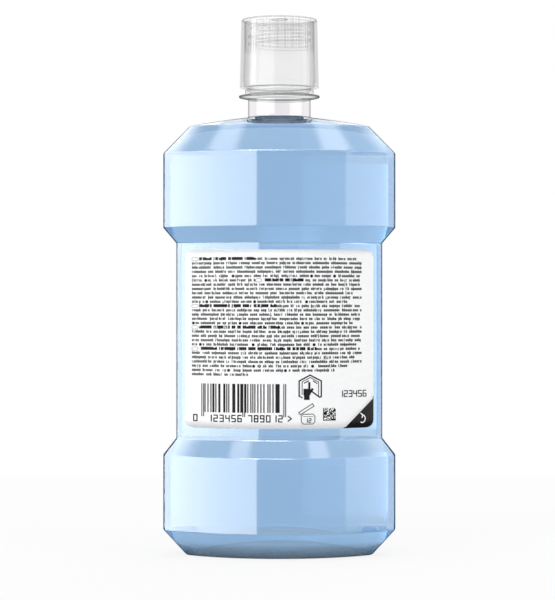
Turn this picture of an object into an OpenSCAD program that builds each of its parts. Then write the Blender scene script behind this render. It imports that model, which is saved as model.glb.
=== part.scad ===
// Flat mouthwash bottle with two wide bulges, a labelled waist, a clear screw closure and a clear dosing cup

/* [Bottle body] */
// Width across the side faces of the bulges
body_width = 88.8; // [82:0.2:92]
// Depth from the front face to the back face of the bulges
body_depth = 57; // [52:0.5:62]
// Radius of the curved front and back faces, seen from above
face_radius = 58.8; // [56:0.2:70]
// Radius of the gently curved side faces, seen from above
side_radius = 60; // [40:1:100]
// Thickness of the bottle's wall
wall = 0.7; // [0.5:0.05:1]
// Rounding of the ridges between the body's faces
ridge_round = 0.6; // [0.3:0.1:1.2]
// Rounding of the foot's edge
foot_round = 2.5; // [2:0.1:3]

/* [Body heights and insets] */
// Height of the chamfer above the foot
base_chamfer_height = 9.9; // [7:0.1:12]
// How far the foot is drawn in from the lower bulge
base_inset = 9; // [7:0.1:9.6]
// Height of the lower bulge's upright faces
lower_bulge_height = 28.3; // [20:0.1:40]
// Height of the taper from the lower bulge to the waist
lower_taper_height = 6.4; // [4:0.1:10]
// How far the waist is drawn in from the bulges
waist_inset = 5; // [3:0.1:7]
// Height of the waist
waist_height = 74.4; // [72:0.1:100]
// Height of the taper from the waist to the upper bulge
upper_taper_height = 5.9; // [4:0.1:10]
// Height of the upper bulge's upright faces
upper_bulge_height = 28.3; // [20:0.1:40]
// Height of the chamfer that closes the shoulder
shoulder_height = 10.5; // [8:0.1:14]
// How far the shoulder's top edge is drawn in
shoulder_inset = 10.2; // [8:0.1:10.6]
// Rise of the shallow dome between the shoulder and the neck
dome_height = 3.2; // [2.5:0.1:5]

/* [Push-up under the base] */
// Width of the flat foot that the bottle stands on
foot_land = 3.5; // [3:0.1:5]
// Height of the push-up at its middle
push_up_height = 11; // [6:0.1:13]
// How far the push-up's sides lean in over its height
push_up_lean = 6; // [4:0.1:7]
// Radius of the push-up's domed top
push_up_radius = 76; // [60:1:100]

/* [Neck] */
// Outer radius of the plain neck below the transfer ring
neck_radius = 12; // [11.6:0.05:12.4]
// Radius of the neck's bore
bore_radius = 9.4; // [8:0.1:9.8]
// Radius where the bore flares into the body
flare_radius = 11; // [10.2:0.1:11.2]
// Height of the bore's flare
flare_height = 2; // [1:0.5:6]
// Radius of the blend between the dome and the neck
neck_fillet = 0.8; // [0.6:0.1:2]
// Height of the plain neck up to the transfer ring
neck_height = 7.1; // [5:0.1:10]
// Outer radius of the transfer ring
ring_radius = 15.45; // [15:0.05:16]
// Height of the transfer ring at its root
ring_height = 2.2; // [1.8:0.05:3]
// Height of the transfer ring's thin edge
ring_edge = 0.7; // [0.5:0.05:1]
// Outer radius of the finish above the transfer ring
finish_radius = 10.95; // [10.6:0.05:11.1]
// Height of the finish from the transfer ring to the mouth
finish_height = 25.5; // [22:0.1:30]
// Outer radius of the bead that holds the tamper band
bead_radius = 12; // [11.7:0.05:12.05]
// Height of the bead
bead_height = 1.2; // [1:0.05:1.6]
// Height from the transfer ring to the underside of the bead
bead_rise = 1.45; // [1.4:0.05:1.8]
// Rounding of the mouth's rim
mouth_round = 0.5; // [0.3:0.05:0.6]

/* [Tamper band] */
// Outer radius of the tamper band
band_radius = 13.1; // [12.9:0.05:13.3]
// Height of the tamper band
band_height = 1.6; // [1.4:0.05:1.8]
// Radial reach of the hook lip inside the band
hook_reach = 0.75; // [0.6:0.05:0.8]
// Height of the hook lip
hook_height = 0.6; // [0.4:0.05:0.7]
// Number of broken bridges on the band's upper edge
bridge_count = 8; // [6:1:12]
// Width of each broken bridge
bridge_width = 1; // [0.8:0.1:1.4]
// Height of each broken bridge
bridge_height = 0.3; // [0.2:0.05:0.35]

/* [Screw closure] */
// Radius of the closure's inner wall
closure_bore_radius = 12.25; // [12.2:0.05:12.4]
// Outer radius of the closure's plain skirt
skirt_radius = 13; // [12.8:0.05:13.05]
// Thickness of the closure's top disc
disc_thickness = 1.1; // [0.8:0.1:1.4]
// Height of the knurled stretch that grips the dosing cup
knurl_height = 12.4; // [8:0.1:16]
// Number of knurls
knurl_count = 72; // [48:4:90]
// Depth of the knurls
knurl_depth = 0.3; // [0.15:0.05:0.3]
// How far the closure's rim stands above the dosing cup's rim
skirt_recess = 0.1; // [0.05:0.05:0.3]

/* [Seal liner] */
// Radius of the seal liner
liner_radius = 11.8; // [11.2:0.05:12]
// Thickness of the seal liner
liner_thickness = 0.7; // [0.5:0.05:1.2]

/* [Dosing cup] */
// Outer radius of the dosing cup at its rim
cup_rim_radius = 15.15; // [15:0.05:15.4]
// Outer radius of the dosing cup at its top
cup_top_radius = 14.55; // [14.45:0.05:14.8]
// Thickness of the dosing cup's wall
cup_wall = 1.1; // [0.9:0.05:1.1]
// Thickness of the dosing cup's top panel
cup_top_thickness = 1.2; // [1:0.05:2]
// Rounding of the dosing cup's top edge
cup_round = 1.2; // [0.8:0.05:1.6]
// Height of the thicker lip at the dosing cup's rim
lip_height = 2.4; // [1.5:0.1:3]
// How far the lip stands inside the wall
lip_reach = 0.25; // [0.1:0.05:0.3]
// Rounding of the lip's edges
lip_round = 0.4; // [0.2:0.05:0.5]
// Radius of the gate recess in the top panel
gate_radius = 3.2; // [2:0.1:5]
// Depth of the gate recess
gate_depth = 0.5; // [0.2:0.05:0.7]
// Height from the transfer ring to the dosing cup's rim
cap_gap = 2.2; // [2.1:0.05:2.4]

/* [Liquid] */
// Height of the liquid's surface above the root of the neck
fill_rise = 0.2; // [0:0.1:2]

/* [Back label] */
// Straight width across the label
label_width = 71.4; // [60:0.2:75]
// Height of the label
label_height = 67.1; // [50:0.1:69]
// Height from the waist's lower edge to the label
label_lift = 4.5; // [1:0.1:5]
// Radius of the label's corners
label_round = 3; // [2:0.1:5]
// Thickness of each of the label's two pages
page_thickness = 0.15; // [0.1:0.01:0.3]
// Margin of the base page that shows round the cover page
page_margin = 0.3; // [0.1:0.05:1]
// Size of the corner cut off the cover page, where it is picked up
pick_corner = 11.2; // [6:0.2:14]

/* [Hidden] */
$fn = 120;

// Clearances between the pieces
liquid_gap = 0.1;
glue_film = 0.05;
press_gap = 0.05;
seal_gap = 0.1;
band_gap = 0.2;
overrun = 1;
arc_steps = 4;

half_width = body_width / 2;
half_depth = body_depth / 2;
face_axis = face_radius - half_depth;
side_axis = side_radius - half_width;

// Heights above the surface that the bottle stands on
bulge_foot = base_chamfer_height;
bulge_top = bulge_foot + lower_bulge_height;
waist_foot = bulge_top + lower_taper_height;
waist_top = waist_foot + waist_height;
shoulder_foot = waist_top + upper_taper_height;
shoulder_edge = shoulder_foot + upper_bulge_height;
dome_foot = shoulder_edge + shoulder_height;
neck_foot = dome_foot + dome_height;
ring_foot = neck_foot + neck_height;
ring_top = ring_foot + ring_height;
bead_foot = ring_top + bead_rise;
mouth = ring_top + finish_height;
liner_foot = mouth + seal_gap;
disc_foot = liner_foot + liner_thickness + seal_gap;
disc_top = disc_foot + disc_thickness;
cap_top = disc_top + press_gap + cup_top_thickness;
cap_rim = ring_top + cap_gap;
closure_rim = cap_rim + skirt_recess;
band_foot = ring_top + band_gap;
fill_level = neck_foot + fill_rise;

neck_land = neck_radius + neck_fillet;
waist_radius = face_radius - waist_inset;
label_foot = waist_foot + label_lift;
cup_ceiling = cap_top - cup_top_thickness;
knurl_radius = cup_top_radius - cup_wall - press_gap;
hook_radius = closure_bore_radius - hook_reach;

function unit(v) = v / norm(v);

// Arc that rounds the corner b between a and c, turned from the first edge's foot to the second's
function corner_arc(a, b, c, radius) =
    let (
        u = unit(a - b),
        v = unit(c - b),
        half_angle = acos(u * v) / 2,
        centre = b + unit(u + v) * radius / sin(half_angle),
        first = b + u * radius / tan(half_angle) - centre,
        last = b + v * radius / tan(half_angle) - centre,
        turn = 180 - 2 * half_angle
    )
    [for (i = [0:arc_steps])
        let (part = i / arc_steps * turn)
        centre + (first * sin(turn - part) + last * sin(part)) / sin(turn)];

// Quarter arc about a centre, from one angle to another
function quarter(centre, radius, from, to) = [
    for (i = [0:arc_steps])
        let (angle = from + (to - from) * i / arc_steps)
        centre + radius * [cos(angle), sin(angle)]
];

// Outline with each inner corner rounded by its own radius
function rounded(points, radii) = [
    points[0],
    for (i = [1:len(points) - 2]) each corner_arc(points[i - 1], points[i], points[i + 1], radii[i - 1]),
    points[len(points) - 1]
];

// Normal of the edge from a to b, pointing into the body
function edge_normal(a, b) = let (d = unit(b - a)) [d[1], -d[0]];

// Outline moved into the body by a distance, square to its edges
function moved_in(points, distance) =
    let (last = len(points) - 1)
    [for (i = [0:last])
        let (
            before = edge_normal(points[max(i - 1, 0)], points[max(i, 1)]),
            after = edge_normal(points[min(i, last - 1)], points[min(i + 1, last)])
        )
        points[i] + (before + after) * distance / (1 + before * after)];

// Body corners as pairs of inset and height, up to a top whose inset differs between faces and sides
function body_corners(top_inset) = [
    [base_inset + foot_land, 0],
    [base_inset, 0],
    [0, bulge_foot],
    [0, bulge_top],
    [waist_inset, waist_foot],
    [waist_inset, waist_top],
    [0, shoulder_foot],
    [0, shoulder_edge],
    [shoulder_inset, dome_foot],
    [top_inset, neck_foot]
];

// Rounding of those corners from the foot up, without the first and last points
corner_rounds = [foot_round, each [for (i = [1:7]) ridge_round]];

// Body outline moved into the body by a distance, with its corners rounded
function body_outline(top_inset, distance) =
    rounded(moved_in(body_corners(top_inset), distance), corner_rounds);

// Outline of the push-up's leaning sides
push_up_outline = [
    [base_inset + foot_land, 0],
    [base_inset + foot_land + push_up_lean, push_up_height]
];

// One face of the body, revolved about its own upright axis
module revolved_face(radius, outline) {
    last = len(outline) - 1;
    rotate_extrude()
        polygon([
            [0, outline[0][1]],
            for (p = outline) [radius - p[0], p[1]],
            [0, outline[last][1]]
        ]);
}

// Solid bounded by the front, back and side faces
module four_faced(face_outline, side_outline) {
    intersection() {
        translate([0, face_axis, 0]) revolved_face(face_radius, face_outline);
        translate([0, -face_axis, 0]) revolved_face(face_radius, face_outline);
        translate([side_axis, 0, 0]) revolved_face(side_radius, side_outline);
        translate([-side_axis, 0, 0]) revolved_face(side_radius, side_outline);
    }
}

// Body's outer form, or that form drawn in by a distance
module body_form(distance) {
    four_faced(
        body_outline(half_depth - neck_land, distance),
        body_outline(half_width - neck_land, distance)
    );
}

// Hollow under the base, grown by a distance for the wall above it
module push_up(grow) {
    outline = moved_in(push_up_outline, -grow);
    reach = outline[1] - outline[0];
    longer = [outline[0] - reach, outline[1] + reach];
    intersection() {
        four_faced(longer, longer);
        translate([0, 0, push_up_height - push_up_radius]) sphere(r = push_up_radius + grow);
    }
}

// Neck with the transfer ring, the bead and the rounded mouth, as one revolved outline
module neck_form() {
    ring_slope = (ring_height - ring_edge) / 2;
    rotate_extrude()
        polygon([
            [0, dome_foot],
            [neck_radius, dome_foot],
            each quarter([neck_land, neck_foot + neck_fillet], neck_fillet, 270, 180),
            [neck_radius, ring_foot],
            [ring_radius, ring_foot + ring_slope],
            [ring_radius, ring_foot + ring_slope + ring_edge],
            [finish_radius, ring_top],
            [finish_radius, bead_foot],
            [bead_radius, bead_foot],
            [bead_radius, bead_foot + bead_height / 2],
            [finish_radius, bead_foot + bead_height],
            each quarter([finish_radius - mouth_round, mouth - mouth_round], mouth_round, 0, 90),
            [0, mouth]
        ]);
}

// Bore through the neck, flared where it opens into the body
module neck_bore(gap) {
    translate([0, 0, dome_foot]) cylinder(r = bore_radius - gap, h = mouth - dome_foot + overrun);
    translate([0, 0, dome_foot])
        cylinder(r = flare_radius - gap, h = dome_height);
    translate([0, 0, neck_foot])
        cylinder(r1 = flare_radius - gap, r2 = bore_radius - gap, h = flare_height);
}

// Blow-moulded bottle: thin-walled body, push-up base, neck, transfer ring and bead
module bottle() {
    color([0.82, 0.9, 0.97, 0.4])
        difference() {
            union() {
                body_form(0);
                neck_form();
            }
            difference() {
                body_form(wall);
                push_up(wall);
            }
            neck_bore(0);
            push_up(0);
        }
}

// Liquid that fills the body up to the root of the neck
module mouthwash() {
    color([0.55, 0.75, 0.93, 0.8])
        difference() {
            union() {
                body_form(wall + liquid_gap);
                intersection() {
                    neck_bore(liquid_gap);
                    translate([0, 0, dome_foot]) cylinder(r = flare_radius, h = fill_level - dome_foot);
                }
            }
            push_up(wall + liquid_gap);
        }
}

// Ring that stays on the neck, with a hook lip under the bead and the stubs of its broken bridges
module tamper_band() {
    band_top = band_foot + band_height;
    band_wall = band_radius - closure_bore_radius;
    color([0.93, 0.95, 0.96, 0.5])
        union() {
            rotate_extrude()
                polygon([
                    [hook_radius, band_foot],
                    [band_radius, band_foot],
                    [band_radius, band_top],
                    [closure_bore_radius, band_top],
                    [closure_bore_radius, band_foot + hook_height + hook_reach / 2],
                    [hook_radius, band_foot + hook_height]
                ]);
            for (i = [0:bridge_count - 1])
                rotate([0, 0, 360 * (i + 0.5) / bridge_count])
                    translate([
                        closure_bore_radius + band_wall / 4,
                        -bridge_width / 2,
                        band_foot + band_height / 2
                    ])
                        cube([band_wall / 2, bridge_width, band_height / 2 + bridge_height]);
        }
}

// Inner threaded part of the cap: plain skirt, knurled upper stretch and top disc
module screw_closure() {
    knurl_foot = disc_top - knurl_height;
    color([0.9, 0.92, 0.93, 0.5])
        difference() {
            union() {
                translate([0, 0, closure_rim]) cylinder(r = skirt_radius, h = knurl_foot - closure_rim);
                translate([0, 0, knurl_foot])
                    linear_extrude(height = knurl_height)
                        polygon([
                            for (i = [0:2 * knurl_count - 1])
                                let (
                                    angle = 180 * i / knurl_count,
                                    radius = knurl_radius - i % 2 * knurl_depth
                                )
                                radius * [cos(angle), sin(angle)]
                        ]);
            }
            translate([0, 0, closure_rim - overrun])
                cylinder(r = closure_bore_radius, h = disc_foot - closure_rim + overrun);
        }
}

// Loose disc between the closure and the mouth
module seal_liner() {
    color([0.95, 0.95, 0.94])
        translate([0, 0, liner_foot]) cylinder(r = liner_radius, h = liner_thickness);
}

// Clear outer cup: drafted wall, rounded top edge, shallow gate recess and a thicker lip
module dosing_cup() {
    lip_radius = cup_rim_radius - cup_wall - lip_reach;
    draft = (cup_rim_radius - cup_top_radius) / (cap_top - cap_rim);
    wall_at_ceiling = cup_top_radius + draft * cup_top_thickness - cup_wall;
    wall_at_lip = cup_rim_radius - draft * lip_height - cup_wall;
    color([0.95, 0.96, 0.97, 0.4])
        rotate_extrude()
            polygon([
                [0, cup_ceiling],
                [wall_at_ceiling, cup_ceiling],
                [wall_at_lip, cap_rim + lip_height],
                [lip_radius, cap_rim + lip_height - lip_reach],
                each quarter([lip_radius + lip_round, cap_rim + lip_round], lip_round, 180, 270),
                each quarter([cup_rim_radius - lip_round, cap_rim + lip_round], lip_round, 270, 360),
                each quarter([cup_top_radius - cup_round, cap_top - cup_round], cup_round, 0, 90),
                [gate_radius, cap_top],
                [gate_radius, cap_top - gate_depth],
                [0, cap_top - gate_depth]
            ]);
}

// Flat outline of a label page, with rounded corners
module page_outline(margin) {
    width = label_width - 2 * margin;
    height = label_height - 2 * margin;
    round = label_round - margin;
    translate([0, label_foot + label_height / 2]) {
        square([width - 2 * round, height], center = true);
        square([width, height - 2 * round], center = true);
        for (side = [-1, 1], end = [-1, 1])
            translate([side * (width / 2 - round), end * (height / 2 - round)]) circle(r = round);
    }
}

// Page bent round the waist's photographed face, level 0 on the bottle and level 1 on top of it
module bent_page(level) {
    inner_radius = waist_radius + glue_film + level * (page_thickness + glue_film);
    intersection() {
        translate([0, face_axis, 0])
            difference() {
                cylinder(r = inner_radius + page_thickness, h = waist_top);
                translate([0, 0, -overrun]) cylinder(r = inner_radius, h = waist_top + 2 * overrun);
            }
        rotate([90, 0, 0]) linear_extrude(height = half_depth) children();
    }
}

// Lower page of the peel-back label
module label_base() {
    color([0.12, 0.12, 0.13])
        bent_page(0) page_outline(0);
}

// Upper page, with the corner cut off where a finger picks it up
module label_cover() {
    corner = [label_width / 2, label_foot];
    color([0.97, 0.97, 0.98])
        bent_page(1)
            difference() {
                page_outline(page_margin);
                polygon([
                    corner + [overrun, -overrun],
                    corner + [overrun, pick_corner + overrun],
                    corner + [-pick_corner - overrun, -overrun]
                ]);
            }
}

bottle();
mouthwash();
tamper_band();
screw_closure();
seal_liner();
dosing_cup();
label_base();
label_cover();
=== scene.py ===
from functools import reduce

import bpy
import numpy as np
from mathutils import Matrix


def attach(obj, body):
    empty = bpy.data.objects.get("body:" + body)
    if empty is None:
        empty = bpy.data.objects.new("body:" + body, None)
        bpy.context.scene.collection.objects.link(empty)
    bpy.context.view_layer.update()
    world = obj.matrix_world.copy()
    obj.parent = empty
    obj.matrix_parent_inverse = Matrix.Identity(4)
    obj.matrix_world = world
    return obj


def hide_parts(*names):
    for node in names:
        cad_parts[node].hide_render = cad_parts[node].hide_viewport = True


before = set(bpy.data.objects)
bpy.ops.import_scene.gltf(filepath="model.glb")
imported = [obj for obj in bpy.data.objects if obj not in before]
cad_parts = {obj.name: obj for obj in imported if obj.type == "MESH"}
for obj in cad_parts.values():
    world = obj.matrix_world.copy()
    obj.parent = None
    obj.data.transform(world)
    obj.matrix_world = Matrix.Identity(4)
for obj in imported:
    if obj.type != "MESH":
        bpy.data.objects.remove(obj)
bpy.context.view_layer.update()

# A flat clear bottle of blue mouthwash with a clear screw cap, seen from its labelled back. Lengths are in
# millimetres and become metres when a mesh is made. +Z is up, -Y is the labelled face.

metre = 0.001
scene = bpy.context.scene


# Shapes in the plane, and surfaces worked out from them
def eased(t):
    # 3t^2 - 2t^3, with t held between 0 and 1
    t = np.clip(t, 0, 1)
    return t * t * (3 - 2 * t)


def unit(v):
    return v / np.linalg.norm(v)


def filleted(points, radii, steps=7, support=0.6):
    # Polyline with an arc of each radius at its inner corners: the arc's centre lies on the bisector,
    # radius / sin(half the angle) from the corner, and a support point stands on the straight run before
    # and after it
    points = np.array(points, float)
    radii = np.broadcast_to(radii, len(points) - 2)
    path = [points[:1]]
    for a, b, c, radius in zip(points[:-2], points[1:-1], points[2:], radii):
        u, v = unit(a - b), unit(c - b)
        half = np.arccos(u @ v) / 2
        centre = b + unit(u + v) * radius / np.sin(half)
        cut = radius / np.tan(half)
        turn = np.pi - 2 * half
        part = np.linspace(0, turn, steps + 1)[:, None]
        first, last = b + u * cut, b + v * cut
        arc = (first - centre) * np.sin(turn - part) + (last - centre) * np.sin(part)
        arc = arc / np.sin(turn) + centre
        before = min(support, (np.linalg.norm(a - b) - cut) * 0.25)
        after = min(support, (np.linalg.norm(c - b) - cut) * 0.25)
        path += [[first + u * before], arc, [last + v * after]]
    return np.concatenate(path + [points[-1:]])


def movedIn(path, distance):
    # Path moved square to its edges: each point goes along the mean of its edges' normals, over the cosine
    # of half the turn between them
    edge = np.diff(path, axis=0)
    normal = np.stack([edge[:, 1], -edge[:, 0]], 1) / np.linalg.norm(edge, axis=1)[:, None]
    before, after = np.concatenate([normal[:1], normal]), np.concatenate([normal, normal[-1:]])
    return path + (before + after) * distance / (1 + (before * after).sum(1))[:, None]


def makeMesh(name, corners, faces):
    mesh = bpy.data.meshes.new(name)
    mesh.from_pydata((corners * metre).tolist(), [], faces)
    mesh.polygons.foreach_set("use_smooth", np.ones(len(mesh.polygons), bool))
    mesh.update()
    piece = bpy.data.objects.new(name, mesh)
    scene.collection.objects.link(piece)
    return piece


def skin(name, rows, startPole=None, endPole=None, loop=False):
    # Closed skin over a grid of rows: columns join round, a fan closes each end that has a pole, and loop
    # joins the last row to the first
    count, width = rows.shape[:2]
    i = np.arange(count if loop else count - 1)[:, None]
    j = np.arange(width)[None, :]
    right, above = (j + 1) % width, (i + 1) % count
    faces = np.stack([i * width + j, i * width + right, above * width + right, above * width + j], -1)
    faces = faces.reshape(-1, 4).tolist()
    corners = [rows.reshape(-1, 3)]
    ring, nextRing = np.arange(width), (np.arange(width) + 1) % width
    last = count * width
    if startPole is not None:
        faces += np.stack([np.full(width, last), nextRing, ring], 1).tolist()
        corners.append(np.array([startPole], float))
        last += 1
    if endPole is not None:
        top = (count - 1) * width
        faces += np.stack([top + ring, top + nextRing, np.full(width, last)], 1).tolist()
        corners.append(np.array([endPole], float))
    return makeMesh(name, np.concatenate(corners), faces)


def markPoints(piece, name, rowMarks, rows, poleMarks):
    # A mark of 1 or 0 on each point of a skin, from one for each row and each pole
    marks = np.append(np.repeat(rowMarks, rows.shape[1]), poleMarks).astype(float)
    piece.data.attributes.new(name, "FLOAT", "POINT").data.foreach_set("value", marks)


def turned(path, columns):
    # Path of radius and height turned about the Z axis: (r cos a, r sin a, z)
    angle = np.arange(columns) * 2 * np.pi / columns
    radius, height = path[:, 0:1], path[:, 1:2]
    return np.stack([radius * np.cos(angle), radius * np.sin(angle), height + 0 * angle], -1)


# The body's section: two wide face arcs and two side arcs, with a rounded corner between them
body = {
    "faceRadius": 58.8, "faceAxis": 30.3, "sideRadius": 60.0, "sideAxis": 15.6,
    "outline": [(12.5, 0), (9, 0), (0, 9.9), (0, 38.2), (5, 44.6), (5, 119.0), (0, 124.9), (0, 153.2),
                (10.2, 163.7)],  # inset and height, up the wall
    "faceTop": (15.7, 166.9), "sideTop": (31.6, 166.9),
    "ridges": [2.5, 0.7, 0.7, 0.8, 0.8, 0.7, 0.7, 0.8],
    "corner": 1.8, "neckLand": 12.8, "domeFoot": 163.7, "neckFoot": 166.9,
    "wall": 0.7, "faceColumns": 34, "cornerColumns": 9, "sideColumns": 12, "crowding": 0.4,
}


def sectionParts(faceInset, sideInset, corner):
    # The corner's circle touches both arcs from inside, so its centre is where two circles cross: one round
    # each arc's centre, with that arc's radius less the corner's
    faceRadius, sideRadius = body["faceRadius"] - faceInset, body["sideRadius"] - sideInset
    p, q = body["faceAxis"], body["sideAxis"]
    a, b, apart = faceRadius - corner, sideRadius - corner, np.hypot(p, q)
    along = (a * a - b * b + apart * apart) / (2 * apart)
    across = np.sqrt(np.maximum(a * a - along * along, 0))
    x = (-q * along + p * across) / apart
    y = p + (-p * along - q * across) / apart
    faceEnd = np.arctan2(x * faceRadius / a, -(p + (y - p) * faceRadius / a))
    sideEnd = np.arctan2(-q + (x + q) * sideRadius / b, -(y * sideRadius / b))
    return faceRadius, sideRadius, x, y, faceEnd, sideEnd


def sectionRadius(parts, corner, angle):
    # Distance from the axis to the section along the ray (sin a, -cos a): u.c + sqrt((u.c)^2 - c.c + r^2)
    # for the circle of centre c and radius r that the ray meets
    faceRadius, sideRadius, x, y, faceEnd, sideEnd = parts
    sine, cosine = np.sin(angle), np.cos(angle)
    p, q = body["faceAxis"], body["sideAxis"]
    face = -p * cosine + np.sqrt(p * p * (cosine * cosine - 1) + faceRadius ** 2)
    side = -q * sine + np.sqrt(q * q * (sine * sine - 1) + sideRadius ** 2)
    dot = x * sine - y * cosine
    rounding = dot + np.sqrt(np.maximum(dot * dot - x * x - y * y + corner ** 2, 0))
    return np.where(angle < faceEnd, face, np.where(angle > sideEnd, side, rounding))


def columnAngles(faceEnd, sideEnd):
    # Angles from the middle of a face to the middle of a side, closer together towards the corner
    t = np.linspace(0, 1, body["faceColumns"] + 1)[:-1]
    s = np.linspace(0, 1, body["sideColumns"] + 1)[1:]
    c = np.linspace(0, 1, body["cornerColumns"] + 1)
    crowding = body["crowding"]
    return np.concatenate([
        faceEnd * (t + crowding * t * (1 - t)),
        faceEnd + (sideEnd - faceEnd) * c,
        sideEnd + (np.pi / 2 - sideEnd) * (s - crowding * s * (1 - s)),
    ], 1)


def allRound(angle, radius, height):
    # A quarter's points mirrored into the four quarters: x = r sin a and y = -r cos a, with the signs of
    # the quarter
    x, y, z = radius * np.sin(angle), radius * np.cos(angle), height + 0 * radius
    forward, back = slice(0, -1), slice(-1, 0, -1)
    quarters = [(forward, 1, -1), (back, 1, 1), (forward, -1, 1), (back, -1, -1)]
    return np.concatenate([np.stack([sx * x[:, s], sy * y[:, s], z[:, s]], -1) for s, sx, sy in quarters], 1)


def bodyRows(distance):
    # Rows up the body's wall at a distance inside its skin: height, face inset, side inset and corner
    # radius
    face, side = [filleted(movedIn(np.array(body["outline"] + [top], float), distance), body["ridges"])[2:]
                  for top in (body["faceTop"], body["sideTop"])]
    top = min(face[-1, 1], side[-1, 1])
    z = np.concatenate([face[:, 1], side[:, 1], np.linspace(body["domeFoot"] + 0.4 - distance, top, 12)])
    z = np.unique(np.round(z[z <= top], 3))
    rise = eased((z - body["domeFoot"] + distance) / (top - body["domeFoot"] + distance))
    corner = max(body["corner"] - distance, 0.8) * (1 - rise) + (body["neckLand"] - distance) * rise
    insets = np.interp(z, face[:, 1], face[:, 0]), np.interp(z, side[:, 1], side[:, 0])
    return tuple(v[:, None] for v in (z, *insets, corner))


def bodyWall(distance):
    # The body's wall as a grid of points; the dome keeps the column angles of its foot while its corners
    # open out
    z, faceInset, sideInset, corner = bodyRows(distance)
    parts = sectionParts(faceInset, sideInset, corner)
    held = int(np.searchsorted(z[:, 0], body["domeFoot"] - distance))
    faceEnd, sideEnd = parts[4].copy(), parts[5].copy()
    faceEnd[held:], sideEnd[held:] = faceEnd[held], sideEnd[held]
    angle = columnAngles(faceEnd, sideEnd)
    return allRound(angle, sectionRadius(parts, corner, angle), z), angle[-1:]


def softMax(a, b, reach):
    # The larger of two, raised by h^2 reach / 4 where they differ by less than reach, with
    # h = 1 - difference / reach
    h = np.clip(1 - np.abs(a - b) / reach, 0, 1)
    return np.maximum(a, b) + h * h * reach / 4


pushUp = {"inset": 12.5, "height": 11.0, "lean": 6.0, "radius": 76.0, "rows": 34, "corner": 2.0,
          "first": 0.06, "spread": 1.35, "blends": (3.0, 0.9, 0.5)}


def pushUpRows(inset, distance):
    # Height field over the base, t times the outline at an inset: the lower of a dome and the leaning
    # sides, never under the base itself, each moved up by the wall above it
    flat = np.array([[float(inset)]])
    parts = sectionParts(flat, flat, np.array([[pushUp["corner"]]]))
    angle = columnAngles(parts[4], parts[5])
    radius = sectionRadius(parts, pushUp["corner"], angle)
    t = 1 - (1 - np.linspace(pushUp["first"], 1, pushUp["rows"])[:, None]) ** pushUp["spread"]
    atCorner, atDome, atFoot = pushUp["blends"]
    rows = allRound(angle + 0 * t, radius * t, np.zeros_like(radius * t))
    x, y = np.abs(rows[..., 0]), np.abs(rows[..., 1])
    faceInset = body["faceRadius"] - np.hypot(x, y + body["faceAxis"])
    sideInset = body["sideRadius"] - np.hypot(x + body["sideAxis"], y)
    slope = pushUp["height"] / pushUp["lean"]
    lean = -softMax(-faceInset, -sideInset, atCorner) - pushUp["inset"]
    lean = lean * slope + distance * np.hypot(1, slope)
    dome = pushUp["height"] - pushUp["radius"] + np.sqrt((pushUp["radius"] + distance) ** 2 - x * x - y * y)
    rows[..., 2] = softMax(-softMax(-lean, -dome, atDome), np.full_like(lean, distance), atFoot)
    rows[-1, :, 2] = distance
    return rows


threadRunOut = 0.1  # of a turn


def helix(height, angle, thread):
    # Ridge along a right-handed helix: its crest rises by the pitch each turn, its flanks slope to the
    # wall, and it runs out at both ends
    part = (angle / (2 * np.pi)) % 1
    off = height - thread["foot"] - thread["pitch"] * part
    turn = np.clip(np.round(off / thread["pitch"]), 0, None)
    away = np.abs(off - turn * thread["pitch"])
    along = turn + part
    ends = eased(along / threadRunOut) * eased((thread["turns"] - along) / threadRunOut)
    flank = (thread["halfFoot"] - away) / (thread["halfFoot"] - thread["halfCrest"])
    return thread["depth"] * ends * eased(flank)


# Finishes. A call that makes a node makes it in the tree that was started last
white = (1, 1, 1, 1)


def started(owner):
    global tree
    owner.use_nodes = True
    tree = owner.node_tree
    tree.nodes.clear()
    return owner


def newMaterial(name):
    return started(bpy.data.materials.new(name))


def add(kind, inputs=None, **settings):
    # A node with its settings, and for each input a fixed value or the socket that feeds it
    node = tree.nodes.new("ShaderNode" + kind)
    for name, value in settings.items():
        setattr(node, name, value)
    for name, value in (inputs or {}).items():
        if isinstance(value, bpy.types.NodeSocket):
            tree.links.new(value, node.inputs[name])
        else:
            node.inputs[name].default_value = value
    return node


def calc(operation, *values):
    return add("Math", dict(enumerate(values)), operation=operation).outputs[0]


def times(*values):
    return reduce(lambda a, b: calc("MULTIPLY", a, b), values)


def plus(*values):
    return reduce(lambda a, b: calc("ADD", a, b), values)


def minus(a, b):
    return calc("SUBTRACT", a, b)


def larger(a, b):
    return calc("MAXIMUM", a, b)


def over(value, limit):
    return calc("GREATER_THAN", value, limit)


def under(value, limit):
    return calc("LESS_THAN", value, limit)


def chosen(share, first, second):
    return plus(times(minus(1.0, share), first), times(share, second))


def between(value, low, high, toLow=0.0, toHigh=1.0, easing="SMOOTHSTEP"):
    inputs = {"Value": value, "From Min": low, "From Max": high, "To Min": toLow, "To Max": toHigh}
    return add("MapRange", inputs, interpolation_type=easing).outputs[0]


def zone(value, low, full, fullTo, high):
    # Rises from 0 at low to 1 at full, and falls from 1 at fullTo to 0 at high
    return times(between(value, low, full), between(value, high, fullTo))


def ramp(factor, stops):
    node = add("ValToRGB", {0: factor})
    elements = node.color_ramp.elements
    while len(elements) < len(stops):
        elements.new(0.5)
    for element, (at, shade) in zip(elements, stops):
        element.position, element.color = at, (*shade, 1)
    return node.outputs[0]


def greys(*stops):
    # Colour stops from pairs of place and grey level
    return [(at, (level, level, level)) for at, level in stops]


def blended(share, first, second, how="MIX"):
    return add("Mix", {0: share, 6: first, 7: second}, data_type="RGBA", blend_type=how).outputs[2]


def mixShader(share, first, second):
    return add("MixShader", {0: share, 1: first.outputs[0], 2: second.outputs[0]})


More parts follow.
